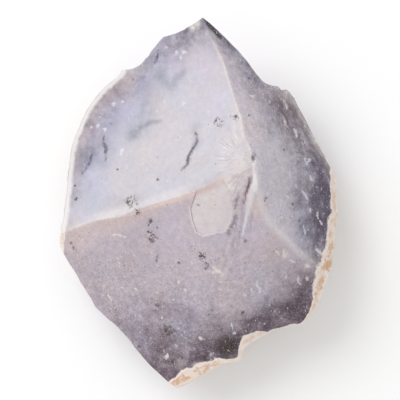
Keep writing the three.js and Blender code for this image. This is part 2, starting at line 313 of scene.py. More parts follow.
def relief_block(heights, cell=FACE_CELL, centre=(0, 0), span=FACE_SPAN):
    """A block whose underside is a broken face, as heights over a fine grid."""
    sheet, across, along = grid_sheet(*span, cell)
    x = centre[0] + across * span[0] / 2
    y = centre[1] + along * span[1] / 2
    points = np.column_stack([x, y, heights(x, y)])
    return thicken(sheet, points, (0, 0, 1), FACE_BLOCK)


def side_block(start, end, lean, bulge, hollows):
    """A block outside one broken side, its inner wall leaning in below the top edge."""
    (x0, y0, z0), (x1, y1, z1) = start, end
    sheet, across, up = grid_sheet(SIDE_LENGTH, SIDE_HEIGHT, SIDE_CELL)
    u = across * SIDE_LENGTH / 2
    height = SIDE_MIDDLE + up * SIDE_HEIGHT / 2
    run = np.array([x1 - x0, y1 - y0])
    length = np.hypot(*run)
    along = run / length
    out = np.array([along[1], -along[0]])
    middle = np.array([(x0 + x1) / 2, (y0 + y1) / 2])
    edge = (z0 + z1) / 2 + (z1 - z0) * np.clip(u / length, -0.5, 0.5)
    past = np.maximum(np.abs(u) - length / 2, 0)
    hollow = np.where(u < 0, *hollows)
    swell = bulge * np.maximum(1 - (2 * u / length) ** 2, 0)
    share = np.clip(height / edge, 0, 1)
    scoop = SIDE_SCOOP * 4 * share * (1 - share)
    climb = math.tan(math.radians(lean))
    inner = (height - edge) * climb + swell - scoop + past ** 2 / (2 * hollow)
    wall = np.column_stack([u, height, np.full(len(u), x0)])
    inner = inner + 0.25 * grain(wall, 5, 3, 5) + 0.08 * grain(wall, 1.2, 2, 6)
    plan = middle + u[:, None] * along + inner[:, None] * out
    return thicken(sheet, np.column_stack([plan, height]), (*out, 0), SIDE_BLOCK)


def cut(block, tool, operation="DIFFERENCE"):
    deselect()
    bpy.context.view_layer.objects.active = block
    modifier = block.modifiers.new("break", "BOOLEAN")
    modifier.operation = operation
    modifier.solver = "MANIFOLD"
    modifier.object = tool
    bpy.ops.object.modifier_apply(modifier=modifier.name)
    bpy.data.objects.remove(tool)


# ---- Broken faces with their fine relief ----

left_sheet = sheet_through([APEX] + NOSE_RIDGE + HEEL_RIDGE + LEFT_RIM)
right_sheet = sheet_through([APEX] + NOSE_RIDGE + SHOULDER_RIDGE + RIGHT_RIM)
front_sheet = sheet_through([APEX] + HEEL_RIDGE + SHOULDER_RIDGE + FRONT_RIM)
cheek_sheet = sheet_through(CHEEK)
bevel_sheet = sheet_through(
    [(x, y, float(left_sheet(x, y))) for x, y in BEVEL_INNER_EDGE]
    + [(x, y, z - BEVEL_DROP) for x, y, z in HEEL_RIDGE[2:]] + BEVEL_END)

RIPPLE_BEND = 1.5
RIPPLE_REACH = 45
SPOKES = 9
SPOKE_DRIFT = 0.04


def plan_grain(x, y, scale, octaves, seed):
    return grain(np.column_stack([x, y, np.zeros(len(x))]), scale, octaves, seed)


def ripples(x, y, spacing, height):
    """Faint rings about the apex, which the blows fell on."""
    away = np.hypot(x - APEX[0], y - APEX[1])
    bent = away + RIPPLE_BEND * plan_grain(x, y, 14, 2, 9)
    return height * np.sin(2 * math.pi * bent / spacing) * np.exp(-away / RIPPLE_REACH)


def groove(x, y, line, width, depth):
    """A groove that tapers towards both ends of its line."""
    away, share = distance_to_line(x, y, line)
    taper = np.sin(math.pi * np.clip(share, 0.02, 1) ** 0.6)
    return -depth * taper * np.maximum(1 - away / (width / 2), 0)


def splinters(x, y, centre, reach, height):
    """A fan of fine ridges that spread from a bruise."""
    dx, dy = x - centre[0], y - centre[1]
    away = np.hypot(dx, dy)
    spokes = np.column_stack([dx, dy, 0 * x]) / np.maximum(away, 0.3)[:, None]
    comb = grain(spokes * SPOKES + SPOKE_DRIFT * away[:, None], 1, 2, 11)
    return height * comb * smoothstep(reach, reach * 0.3, away) * smoothstep(0, 1.2, away)


def left_face(x, y):
    height = left_sheet(x, y) + ripples(x, y, spacing=7.5, height=0.06)
    height += 0.05 * plan_grain(x, y, 3, 3, 3)
    return height + splinters(x, y, (10.8, 12.2), reach=8.5, height=0.22)


def right_face(x, y):
    height = right_sheet(x, y) + ripples(x, y, spacing=9, height=0.05)
    return height + 0.06 * plan_grain(x, y, 2.5, 3, 4)


# Grooves that splinters left: line, width, depth.
SPLINTER_GROOVES = [
    ([(14, 6.6), (12.8, 3.2), (11.4, 0.2)], 1.3, 1.1),
    ([(12.6, -1.5), (11.2, -8), (9.9, -15.5)], 1, 0.45),
    ([(14.8, -1), (13.9, -6), (13.6, -12)], 0.9, 0.35),
    ([(10.5, 2.5), (9.4, -3), (7.6, -9)], 0.8, 0.3),
]


def front_face(x, y):
    height = front_sheet(x, y) + ripples(x, y, spacing=8, height=0.06)
    height += 0.06 * plan_grain(x, y, 2.5, 3, 5)
    for line, width, depth in SPLINTER_GROOVES:
        height += groove(x, y, line, width, depth)
    return height + splinters(x, y, (12.4, 7), reach=6, height=0.14)


def flake_block():
    """A block that takes the flake off, cut to the scar's outline."""
    block = relief_block(
        lambda x, y: front_face(x, y) - FLAKE_DEPTH, FLAKE_CELL, centre=(3.6, -1), span=(14, 18))
    deselect()
    bpy.ops.mesh.primitive_circle_add(vertices=len(FLAKE_OUTLINE), fill_type="NGON")
    low, high = FLAKE_PRISM
    corners = [(x, y, low) for x, y in FLAKE_OUTLINE]
    cut(block, thicken(bpy.context.object, corners, (0, 0, 1), high - low), "INTERSECT")
    return block


def chip_ball(x, y, z, radius):
    deselect()
    place = (Vector((x, y, z)) + SURVEY_TO_FRAME) * MM
    bpy.ops.mesh.primitive_ico_sphere_add(subdivisions=4, radius=radius * MM, location=place)
    bpy.ops.object.transform_apply()
    return bpy.context.object


def ground_block():
    """A block under the stone, whose top is the plane that it lies on."""
    deselect()
    bpy.ops.mesh.primitive_cube_add(size=0.2, location=(0, 0, -0.1))
    bpy.ops.object.transform_apply()
    return bpy.context.object


def broken_stone():
    """The nodule after every break, and the surface that it had before."""
    stone = whole_nodule()
    skin = BVHTree.FromPolygons(
        [v.co for v in stone.data.vertices], [p.vertices for p in stone.data.polygons])
    for face in (left_face, right_face, front_face):
        cut(stone, relief_block(face))
    cut(stone, relief_block(cheek_sheet, centre=(30, 18), span=(40, 50)))
    cut(stone, relief_block(bevel_sheet))
    for side in SIDES:
        cut(stone, side_block(*side))
    cut(stone, flake_block())
    for chip in CHIPS:
        cut(stone, chip_ball(*chip))
    cut(stone, ground_block())
    return stone, skin


stone, skin = broken_stone()

# ---- Where the colours lie, in the survey's plan ----

# Places, widths and depths are in millimetres and bearings in degrees.

# Rind: bearing, thickness, how tan it is.
RIND = [
    (0, 1.8, 0.5), (10, 1.5, 0.3), (18, 1, 0.1), (32, 0.7, 0), (60, 0.5, 0), (108, 0.5, 0),
    (118, 1, 0), (135, 1.1, 0), (165, 1.25, 0), (185, 1.4, 0.2), (196, 1.2, 0.4), (206, 0.5, 0.2),
    (254, 0.5, 0.2), (260, 2.4, 0.9), (266, 3.8, 1), (271, 2.8, 0.9), (276, 2.3, 0.8),
    (280, 1.1, 0.3), (284, 0.8, 0.2), (288, 2.3, 0.4), (294, 2, 0.5), (298, 0.2, 0.2),
    (310, 0.2, 0.2), (315, 0.9, 0.3), (321, 2.3, 0.9), (330, 3.4, 1), (338, 2.9, 1),
    (346, 2.1, 0.6),
]
# Staining inward from the rim: bearing, strength, full as far as, faded out at.
STAIN = [
    (0, 0.97, 4.6, 15), (15, 0.84, 5, 14.5), (30, 0.68, 6.5, 14.5), (45, 0.74, 5.8, 14),
    (60, 0.55, 2.5, 11), (75, 0.66, 0.5, 9), (90, 0.76, 0.2, 6.5), (105, 0.47, 1.5, 10),
    (120, 0.39, 3.5, 13), (135, 0.48, 3.5, 13), (150, 0.43, 5, 13), (165, 0.38, 4.5, 9),
    (180, 0.34, 1.5, 9), (195, 0.12, 3, 8), (210, 0.2, 5, 10), (225, 0.28, 2, 7),
    (240, 0.48, 0.5, 24), (255, 0.7, 4, 28), (270, 0.8, 5.5, 19), (285, 0.8, 4.2, 14),
    (300, 0.74, 5.6, 12.5), (315, 0.92, 5, 14.5), (330, 0.5, 4.8, 12.5), (345, 0.87, 5, 13.5),
]
# How brown the stain is, against violet blue: bearing, share.
STAIN_WARMTH = [
    (0, 0.3), (20, 0.5), (33, 0.95), (50, 0.95), (60, 0.6), (75, 0.1), (140, 0.05), (185, 0.2),
    (215, 0.8), (300, 0.8), (330, 0.75), (345, 0.4),
]
# Dark veins.
VEINS = [
    [(-0.7, 18.5), (-0.4, 16.1), (-1.4, 14.3), (-2.2, 12.4), (-3, 11.1), (-3.8, 9.3), (-4.6, 8.2)],
    [(-25.7, 18), (-25.8, 16.6), (-25.3, 14.5), (-25.6, 12.4), (-25.3, 11)],
    [(-29.4, 13.2), (-30, 11.4), (-30.5, 10), (-32.2, 7.6)],
    [(-11, 40.8), (-11.3, 39.2), (-11.7, 37.2)], [(-10.8, -14.5), (-11.3, -15.9)],
    [(1.9, -15.9), (2.1, -17.6)], [(-13, -25.6), (-12.6, -26.1)], [(-11.6, -27.5), (-11, -28.5)],
    [(13.2, 33.3), (14.5, 32.1)], [(13.9, 12.6), (14.4, 10.3)], [(17.1, 1.3), (17.3, 0.3)],
    [(-10, -33.3), (-9.1, -34.1)],
]
VEIN_WIDTH = 0.54
DARK_SPECKS = [
    (-22, 8.9), (-34.2, 4.4), (-33.8, 0.9), (-17.8, 33.3), (-10.9, 6), (-24.2, 21.5), (-16.2, -2.9),
    (-12.7, -5.1), (-11.1, -6.8), (-12.3, -10.6), (-20.1, -17.3), (-5.3, -16.2), (0.7, -14.2),
    (-13.9, -35), (-16.4, -39.7), (-15.3, -38), (-35.2, -11.3), (-34.4, -12.6), (2.8, -30.3),
    (-0.1, -0.8), (-6.8, -45.2), (0.5, -42.1), (-4.7, -42.5), (13.3, 22.7), (22.7, 13.8),
    (26.2, 13.4), (25.2, -0.6), (9.7, 22.3), (26.8, -4.9), (12.4, -10.3), (12.3, -16.1),
    (6.2, -34.6), (12, -29.8),
]
SPECK_RADIUS = 0.36
# Clusters of dark, rusty grains: x, y, radius.
CLUSTERS = [
    (-17.6, -0.3, 2), (-12.7, -9.4, 1.6), (0.7, -14.2, 1.5), (-8.2, -35.7, 2.3), (5.1, 21.1, 1.2),
    (-12.9, -5.4, 0.9), (7.8, -39.3, 2.6), (0.5, -42.3, 1.8), (-7.5, -44.2, 1.5), (9.5, 22.1, 0.9),
    (-16.4, -2.5, 1.3),
]
# Blue-grey smudges: x, y, radius, strength.
SMUDGES = [
    (-14, 26, 2.2, 0.25), (-12.6, 29.5, 2.4, 0.2), (-27.5, 14.5, 3.2, 0.3),
    (-30.8, 12.5, 2.2, 0.35), (-26, 10.5, 1.6, 0.3), (-15.3, 20.9, 2.4, 0.5), (-13.2, 24.2, 2, 0.3),
]
# Longer ones: line, half width at its start and end, strength.
LONG_SMUDGES = [
    ([(-17.6, 18.2), (-16, 20.4), (-13.6, 21.2), (-10.6, 21.7)], 1.9, 0.7, 0.72),
    ([(-15.8, 20.6), (-15.2, 24), (-14.3, 27.5)], 1.4, 1.2, 0.35),
    ([(-10.4, 33.6), (-9.2, 31.8), (-7.1, 31), (-3.7, 35.1)], 1.9, 1, 0.5),
    ([(-0.7, 19.4), (-0.4, 16.6), (-1.4, 14.4)], 1.6, 0.8, 0.4),
]
# Further dark patches of the stain: x, y, radius, strength.
DARK_PATCHES = [
    (-8.5, -42.8, 4, 0.58), (32.3, -10.3, 2, 0.9), (28.2, -24.4, 2.4, 1), (28, 14.1, 1.7, 0.75),
    (31.8, 6, 1.8, 0.85), (23.6, -28, 2.5, 0.6),
]
# Dark seams of it, in the terms of the longer smudges.
DARK_SEAMS = [
    ([(22.1, 26.8), (22.5, 24.1), (23.2, 22.9), (24.4, 20.6), (25.8, 19.6)], 1.1, 0.8, 1),
    ([(10.9, 3.4), (9.9, 0.4), (9.5, -2.8), (9.3, -5.2), (8, -8.4)], 0.4, 0.85, 0.55),
]
# White scratches.
WHITE_MARKS = [
    [(-23.7, -8.5), (-21.5, -8.9), (-19.5, -9.4)], [(-18.3, -23.5), (-16.1, -24.5)],
    [(-24.6, -25.1), (-24.1, -27.2)], [(-3.9, -23.1), (-3.6, -24.5)], [(-5.3, -21.4), (-5, -22)],
    [(-9.7, -31), (-9.8, -31.9)], [(-21, 14.2), (-21, 12.5)], [(-25.8, 20.5), (-25.8, 19.2)],
    [(-9.3, 27.6), (-9, 26.3)], [(13.6, 28.3), (14.4, 28), (15, 28.4)],
    [(28.4, 11.9), (30.2, 11.4), (29.1, 10.5), (28.4, 11.9)],
    [(23, 27.8), (23.5, 26.6), (23.9, 25.3)], [(23, 22.9), (23.3, 21.3), (23.8, 20.5)],
    [(25.6, 20.1), (26.4, 18.7), (26.6, 17)], [(27.5, 16.5), (28.6, 15.5)],
    [(31.9, -2.7), (32.1, -4.3)], [(32.7, -4.9), (33.5, -6), (34.1, -5.7)],
    [(3.5, -17), (5.2, -18.1), (7.1, -19.9)], [(20.9, -13), (21.2, -14.1)],
    [(23, -12.5), (22.8, -14.4), (23.1, -15.2)], [(22.8, -18.5), (23.5, -19.9), (24.3, -21.6)],
    [(23.9, -16), (25, -15.6), (26.1, -16.1)], [(28.6, -16.7), (29.8, -17.5)],
    [(26.8, -19.9), (26.7, -21.6), (27.5, -22.2)], [(11.9, -23.8), (12.5, -25.2)],
    [(13.8, -22.7), (14.1, -24.7)], [(8.9, -32.5), (9.2, -34.2)], [(9.6, -35), (10.2, -35.9)],
    [(0.4, -36.7), (1.2, -37.6)], [(-8.7, -41.4), (-8.6, -43.3)], [(25.8, 4.6), (26.3, 2.7)],
    [(24.9, 8), (24.3, 6.4)], [(23.2, 1.6), (24.1, 0.8)], [(15.9, -20.8), (16.3, -25.3)],
    [(27.5, 3.3), (28.6, 2.2), (29.2, 0.4)], [(29.6, 7.6), (30.4, 6.4), (30.8, 5.2)],
    [(31.7, -12), (32.3, -13.2), (33.3, -14.2)], [(29.9, -1.2), (30.4, -2.9)],
    [(28, -5.9), (28.8, -7.4), (28.6, -8.9)], [(22.3, 9.4), (22.1, 7.8)],
]
WHITE_MARK_WIDTH = 0.3
WHITE_SPOTS = [
    (-6.9, -26.3), (0.5, -37.1), (-23, 26.7), (-20.9, 27.3), (-27.7, 20.9), (-29.4, 20.5),
    (-4.1, 26.2), (-6, 39.9), (-4.7, 38.6), (-4, 40.1), (-8.6, 41.6), (19, 27.1), (29.3, -20.7),
    (16.9, -27.9), (3.3, -41.6),
]
WHITE_SPOT_RADIUS = 0.42
# Bruised, milky ground: x, y, radius, strength, as in the tints below.
BRUISES = [
    (11.2, 11, 3, 0.5), (8.6, 13.4, 2.4, 0.3), (10.3, 16.6, 2.4, 0.3), (12.4, 7, 2.2, 0.5),
    (9.3, 5.6, 2, 0.35), (6.8, 9.6, 2, 0.3), (11.6, 20.4, 1.6, 0.2), (-1.6, 46.5, 0.8, 1),
    (-0.4, 47.2, 0.8, 1), (5.2, -18.3, 1.1, 0.6), (6.3, -19.6, 0.9, 0.4), (8.4, 4, 2.9, 0.75),
    (15.4, -1.6, 2, 0.3), (23.3, -14, 0.9, 0.7), (29.3, -17.2, 0.8, 0.8), (30.6, -15.9, 1.6, 0.35),
    (-4.6, -44, 1.6, 0.35),
]
BRUISE_CENTRE = (13, 10.4, 0)
# Fine splinters that spread from it: bearing, spread, from, to, strength.
SPLINTERS = [
    (112, 18, 5.5, 10, 0.7), (140, 20, 4.4, 8.6, 0.9), (172, 24, 3.8, 8, 1),
    (206, 18, 3.6, 6.8, 0.8), (232, 12, 3.2, 11, 0.8), (247, 10, 3.5, 17, 1), (260, 6, 5, 30, 0.8),
]
# Edges at the tip, beside the apex and under it. A painted shadow lies along the tip's edge.
TIP_SHADOW_EDGE = [(1.3, 48.7), (3.6, 46.2), (5.8, 43.8)]
BLADE = [(14.1, 10), (14.3, 7.6), (14.7, 5.4), (14.6, 3.6)]
# A brown painted shadow lies along the undercut.
UNDERCUT = [(13.2, 6.2), (12.9, 4.4), (12.2, 1.6), (11.8, -0.4)]
SLIVER = [(14.3, 4), (13.5, 0.8), (12.7, -2.4), (12.2, -5.2), (11.5, -9)]
# Soft bands along ridges and edges: the face, the course, how milky, peach and white.
# A course is a line, the half width at its start and end, and the shares of the line
# that the band begins and ends at.
HEEL_STEP = (HEEL_RIDGE, 2.2, 2.2, 0.45)
BANDS = [
    ("left", (HEEL_RIDGE, 2.8, 2.8, 0.22, 0.8), (0.25, 0, 0.24)),
    ("top", (HEEL_RIDGE, 0.6, 0.6, 0, 0.4), (0.5, 0, 0)),
    ("front", (HEEL_RIDGE, 5.5, 5.5, -0.2, 0.62), (0, 0.5, 0)),
    ("front", HEEL_STEP, (0, 0.85, 0)),
    ("left", (NOSE_RIDGE + [APEX], 4.2, 4.2, 0.45), (0.15, 0, 0)),
    ("top", (NOSE_RIDGE + [APEX], 0.7, 0.7, 0.1), (0.4, 0.25, 0)),
    ("top", (SHOULDER_RIDGE + [APEX], 1.4, 1.4, 0.12), (0.12, 0.2, 0.26)),
    # The flake's rim gets a painted highlight, which also covers the shade on its step.
    ("front", (FLAKE_OUTLINE[:8], 0.45, 0.45), (0.45, 0, 0.35)),
    ("top", (BLADE, 0.3, 1.1), (0.9, 0, 0.5)),
    ("top", (SLIVER, 1.35, 0.3), (0, 0, 0.55)),
]
# Peach and rose tints.
TINTS = [
    (-24.2, 30.6, 4, 0.35), (-31, 22.5, 4, 0.35), (-34.8, 12, 3.5, 0.3), (-36, -10.4, 4, 0.6),
    (-33.5, -10.6, 5, 0.45), (3.5, 1.8, 3, 0.5), (16.2, -1.6, 3, 0.5), (20.5, -9.8, 4, 0.25),
    (12.6, 20.5, 3, 0.3), (13.4, 24.5, 2.4, 0.25), (15.6, -1.4, 2.4, 0.65), (9.5, 16, 4.5, 0.28),
    (13, 10.4, 2.6, 0.35), (18.7, 5, 4, 0.2), (8.5, 9.5, 3.2, 0.25),
]
# Cooler, bluer ground.
COOL = [
    (-28, 12, 6, 0.7), (-24.5, 22.5, 5, 0.5), (-30.5, 2.5, 6, 0.4), (-8, 37, 5, 0.3),
    (28, 2, 9, 0.3), (30, -9, 7, 0.5), (-14.5, -39, 6, 0.3), (-5, -35, 7, 0.35), (20, -27, 6, 0.3),
    (-18, -27, 5, 0.3),
]
# A pale blue streak high on the left face.
STREAK = [(-14.6, 36.5), (-15.6, 29.5), (-17.6, 24.8), (-20.5, 22)]
# Lilac ground.
LILACS = [
    (-28, 18.5, 6, 0.5), (-22.5, 26.5, 5.5, 0.65), (-30.5, 8, 5, 0.35), (-13.5, 32.5, 5, 0.35),
    (-6, 38.5, 6, 0.5), (2, 38, 6, 0.45), (5, 29, 6, 0.3), (15, -8.5, 3, 0.25),
]
BLACK_PATCH = (8, -39.2, 3.1, 1)
# Lighter and darker ground.
SHADES = [
    (12, -15, 9, 0.07), (-18, -12, 12, -0.05), (-24, -20, 9, -0.06), (24, 10, 8, -0.06),
    (17, 27, 7, -0.08), (-2, 20, 10, 0.03), (16, -4.5, 6, 0.09), (12.5, 2.5, 3.5, 0.07),
    (18.5, -7.5, 3.5, 0.05), (15.2, -1.6, 2, 0.06), (-28, -1.5, 3.5, -0.07), (13, 10.6, 2.8, -0.13),
    (31, 4, 4.5, -0.1), (24.5, 4.5, 4, -0.05), (-31, -7, 5, 0.05), (-16, -19, 5, -0.06),
    (-12, 2.6, 3.5, 0.03), (16, -31.5, 4.5, 0.09), (-11, -38, 8, -0.1), (-16.3, -0.8, 2.6, -0.12),
    (-22, -1, 3, -0.05), (-22, -7, 4, 0.05), (20, -26, 5, 0.03), (15, -9, 3, 0.05),
    (-33, -17, 4, -0.04), (16.5, -7.5, 4, 0.06), (18.7, 5, 4, 0.06), (-22.5, 22.7, 7, -0.05),
    (-23, 29, 3, -0.06), (21.5, -31, 4, 0.07), (-26.5, 25, 3, -0.03), (6, 40.5, 3.2, -0.07),
    (20.7, 27.6, 1.8, 0.07), (-4.5, -44.2, 2, 0.1), (-13, -35, 4, -0.05), (-4.5, -6.5, 4, 0.05),
    (-4.5, -10, 3.5, 0.05), (-12.5, -6, 2.5, -0.04), (-4.8, 42, 3, 0.04), (4.5, 42, 2.5, -0.04),
]

# On top is what lies this close under the broken faces, and past the core, which is a
# share of the outline's reach, faces up this much.
TOP_DEPTH = 2.2
TOP_CORE = 0.6
TOP_FACING = 0.25
RIDGE_BLUR = 0.1
BAND_BLUR = 0.08
# How many half widths away a mark is where there is none.
FAR = 9.0
# Length in plan for a length down the slope of each face.
PLAN_LENGTH = {"left": 0.84, "right": 0.64, "front": 0.9}


def by_bearing(table, bearing, column=1):
    rows = np.array(table, dtype=float)
    angles = np.append(rows[:, 0], rows[0, 0] + 360)
    values = np.append(rows[:, column], rows[0, column])
    return np.interp(bearing, angles, values)


def strongest(*parts):
    return np.maximum.reduce(parts)


def blobs(x, y, spots):
    """Strength of the round spots, which fade out softly."""
    return strongest(*(
        strength * np.exp(-((x - cx) ** 2 + (y - cy) ** 2) / radius ** 2)
        for cx, cy, radius, strength in spots))


def soft_lines(x, y, rows):
    """Strength of the lines, whose edges fade out over their half width."""
    parts = []
    for line, first, last, strength in rows:
        away, share = distance_to_line(x, y, line)
        parts.append(strength * np.exp(-(away / (first + (last - first) * share)) ** 2))
    return strongest(*parts)


def nearest_mark(x, y, lines, width):
    """Distance to the nearest line in half widths, so that a mark is where it is under 1."""
    best = np.full(len(x), FAR)
    for line in lines:
        away, share = distance_to_line(x, y, line)
        taper = 0.5 + 0.5 * np.sin(math.pi * share)
        best = np.minimum(best, away / (width * taper))
    return best


def nearest_spot(x, y, spots, radius):
    """Distance to the nearest spot in radii, which differ from spot to spot."""
    best = np.full(len(x), FAR)
    for k, (cx, cy) in enumerate(spots):
        size = radius * (0.7 + 0.5 * ((k * 7) % 5) / 4)
        best = np.minimum(best, np.hypot(x - cx, y - cy) / size)
    return best


def splintered(x, y):
    """How strongly the fine splinters show about the bruise."""
    dx, dy = x - BRUISE_CENTRE[0], y - BRUISE_CENTRE[1]
    bearing = np.degrees(np.arctan2(dy, dx)) % 360
    away = np.hypot(dx, dy)
    parts = []
    for middle, spread, start, end, strength in SPLINTERS:
        reached = smoothstep(start - 1.5, start + 1, away) * smoothstep(end + 3, end - 3, away)
        parts.append(strength * np.exp(-(((bearing - middle) / spread) ** 2)) * reached)
    return strongest(*parts)


def inside(x, y, corners):
    """Whether each point lies inside a ring of corners, by counting the sides it passes."""
    within = np.zeros(len(x), dtype=bool)
    for (ax, ay), (bx, by) in zip(corners, corners[1:] + corners[:1]):
        crosses = (ay > y) != (by > y)
        within ^= crosses & (x < ax + (y - ay) * (bx - ax) / (by - ay))
    return within


def band(x, y, line, first, last, start=-0.2, end=1.2):
    """Strength of a soft band, from its course."""
    away, share = distance_to_line(x, y, line)
    width = first + (last - first) * share
    starts = smoothstep(start - BAND_BLUR, start + BAND_BLUR, share)
    ends = smoothstep(end + BAND_BLUR, end - BAND_BLUR, share)
    return smoothstep(width, width * 0.35, away) * (starts * ends)


def distance_to_sides(points, on_top):
    """Distance from each vertex to the nearest one that isn't on a broken top face."""
    sides = points[~on_top]
    tree = KDTree(len(sides))
    for k, point in enumerate(sides):
        tree.insert(point, k)
    tree.balance()
    return np.array([tree.find(p)[2] if top else 0.0 for p, top in zip(points, on_top)])


def moved(points, amount, scale, seeds):
    """The points' x and y, moved about by noise."""
    return [points[:, k] + amount * grain(points, scale, 2, seeds[k]) for k in (0, 1)]


def add_field(name, values):
    field = stone.data.attributes.new(name, "FLOAT", "POINT")
    field.data.foreach_set("value", np.asarray(values, dtype=np.float32))


def face_shares(points, bearing):
    """How much of each vertex is on top, and on the left, right and front broken face."""
    x, y, z = points.T
    sheets = [sheet(x, y) for sheet in (left_sheet, right_sheet, front_sheet)]
    roof = np.minimum.reduce(sheets + [cheek_sheet(x, y)])
    upward = vertex_array(stone.data, "normal")[:, 2] > TOP_FACING
    core = np.hypot(x, y) < TOP_CORE * outline_reach(bearing)
    top = ((z > roof - TOP_DEPTH) & (core | upward)).astype(float)
    shares = {"top": top}
    for k, name in enumerate(("left", "right", "front")):
        others = np.minimum(*(sheets[:k] + sheets[k + 1:]))
        shares[name] = top * smoothstep(-RIDGE_BLUR, RIDGE_BLUR, others - sheets[k])
    return shares


def rind_fields(x, y, bearing, depth):
    """How deep under the skin, in thicknesses of the rind, and the rind's own colours."""
    add_field("rind", depth / by_bearing(RIND, bearing))
    add_field("rind_tan", by_bearing(RIND, bearing, 2))
    outward = smoothstep(6, 24, np.hypot(x, y))
    add_field("pale_rim", outward * smoothstep(102, 114, bearing) * smoothstep(200, 186, bearing))


def ground_fields(points, bearing, depth, rim, faces, flake, bent, swayed):
    """The broken faces, the stain that comes in from the rim, and how sandy each part is."""
    x, y, _ = points.T
    top, left, right, front = (faces[name] for name in ("top", "left", "right", "front"))
    add_field("left", left)
    add_field("front", front + 0.5 * (1 - top))
    add_field("lilac", top * blobs(x, y, LILACS))
    streak = left * band(x, y, STREAK, 3.2, 3.2, 0.1, 0.9)
    add_field("cool", strongest(top * blobs(x, y, COOL), 0.6 * streak))
    add_field("shade", 1 + sum(blobs(x, y, [(cx, cy, r, 1)]) * by for cx, cy, r, by in SHADES))

    inward = np.where(top > 0, rim, depth)
    wander = 1 + 0.22 * grain(points, 6, 3, 21)
    strength, hold, fade = (by_bearing(STAIN, bearing, column) for column in (1, 2, 3))
    hold, fade = hold * wander, fade * wander
    stain = strength * np.clip((fade - inward) / (fade - hold), 0, 1)
    patches = strongest(blobs(*swayed, DARK_PATCHES), soft_lines(*bent, DARK_SEAMS))
    add_field("stain", strongest(stain, top * patches))
    warm_rim = 0.75 * smoothstep(105, 125, bearing) * left * smoothstep(6, 2.5, rim)
    add_field("stain_warmth", strongest(by_bearing(STAIN_WARMTH, bearing), warm_rim))
    sandy_front = (front - 0.5 * flake) * (0.48 + 0.72 * smoothstep(-5, -30, y))
    add_field("sandy", 0.22 * left + sandy_front + right * (0.75 + 0.5 * stain) + 0.3 * (1 - top))


def mark_fields(x, y, top, flake, bent, swayed):
    """Veins, specks, scratches, clusters, smudges, splinters and painted shadow in the undercut."""
    hidden = FAR * (1 - top)
    add_field("vein", hidden + nearest_mark(*bent, VEINS, VEIN_WIDTH))
    add_field("speck", hidden + nearest_spot(x, y, DARK_SPECKS, SPECK_RADIUS))
    add_field("white_mark", hidden + np.minimum(
        nearest_mark(*bent, WHITE_MARKS, WHITE_MARK_WIDTH),
        nearest_spot(x, y, WHITE_SPOTS, WHITE_SPOT_RADIUS)))
    clumps = [(*clump, 1) for clump in CLUSTERS]
    add_field("cluster", top * blobs(2 * bent[0] - x, 2 * bent[1] - y, clumps))
    add_field("smudge",
              top * strongest(blobs(*swayed, SMUDGES), soft_lines(*swayed, LONG_SMUDGES)))
    add_field("splintered", (top - 0.85 * flake) * splintered(x, y))
    # Brown painted shadow in the undercut's groove.
    add_field("undercut_shadow", top * band(x, y, UNDERCUT, 0.36, 0.36))


def edge_fields(x, y, bearing, rim, faces, flake):
    """Milky, peach and white ground, painted edge highlights, a black patch and the tip's painted
    shadow.
    """
    top, left = faces["top"], faces["left"]
    bare_flake = flake * (1 - faces["front"] * band(x, y, *HEEL_STEP))
    east = smoothstep(5, 20, bearing) * smoothstep(62, 48, bearing)
    west = smoothstep(105, 125, bearing) * smoothstep(180, 160, bearing)
    # Painted highlight along the thin upper right edge.
    painted_edge_light = 0.5 * faces["right"] * east * smoothstep(2.6, 0.2, rim)
    rose_rim = 0.4 * west * left * smoothstep(4.5, 1.5, rim)
    tints = {
        "milk": [top * blobs(x, y, BRUISES), painted_edge_light, 0.5 * bare_flake],
        "peach": [top * blobs(x, y, TINTS), rose_rim, 0.17 * bare_flake],
        "white": [0.14 * bare_flake],
    }
    for face, course, strengths in BANDS:
        shown = faces[face] * band(x, y, *course)
        for parts, strength in zip(tints.values(), strengths):
            parts.append(strength * shown)
    for name, parts in tints.items():
        add_field(name, strongest(*parts))
    # Painted shadow on the steep side along the tip's edge, and a black patch of the stone's own
    # colour.
    tip_shadow = (1 - left) * band(x, y, TIP_SHADOW_EDGE, 0.85, 0.85, end=1.05)
    add_field("black_and_painted_shadow", strongest(tip_shadow, top * blobs(x, y, [BLACK_PATCH])))


def colour_fields():
    points = vertex_array(stone.data) / MM - np.array(SURVEY_TO_FRAME)
    x, y, _ = points.T
    bearing = np.degrees(np.arctan2(y, x)) % 360
    depth = np.array([skin.find_nearest(v.co)[3] / MM for v in stone.data.vertices])
    faces = face_shares(points, bearing)
    rim = distance_to_sides(points, faces["top"] > 0)
    rim *= sum(length * faces[name] for name, length in PLAN_LENGTH.items())
    flake = faces["front"] * inside(x, y, FLAKE_OUTLINE)
    bent = moved(points, 0.6, 2.4, (41, 47))
    swayed = moved(points, 0.9, 4, (33, 37))
    rind_fields(x, y, bearing, depth)
    ground_fields(points, bearing, depth, rim, faces, flake, bent, swayed)
    mark_fields(x, y, faces["top"], flake, bent, swayed)
    edge_fields(x, y, bearing, rim, faces, flake)


def close_and_smooth():
    deselect()
    stone.select_set(True)
    bpy.context.view_layer.objects.active = stone
    bpy.ops.object.mode_set(mode="EDIT")
    bpy.ops.mesh.select_all(action="SELECT")
    bpy.ops.mesh.remove_doubles(threshold=0.004 * MM)
    bpy.ops.mesh.quads_convert_to_tris()
    bpy.ops.object.mode_set(mode="OBJECT")
    bpy.ops.object.shade_smooth_by_angle(angle=math.radians(26))


close_and_smooth()
colour_fields()

# ---- Material ----


def tone(red, green, blue):
    """A colour from the 0 to 255 values that a screen shows it with."""
    def linear(value):
        share = value / 255
        return share / 12.92 if share <= 0.04045 else ((share + 0.055) / 1.055) ** 2.4
    return (linear(red), linear(green), linear(blue), 1)


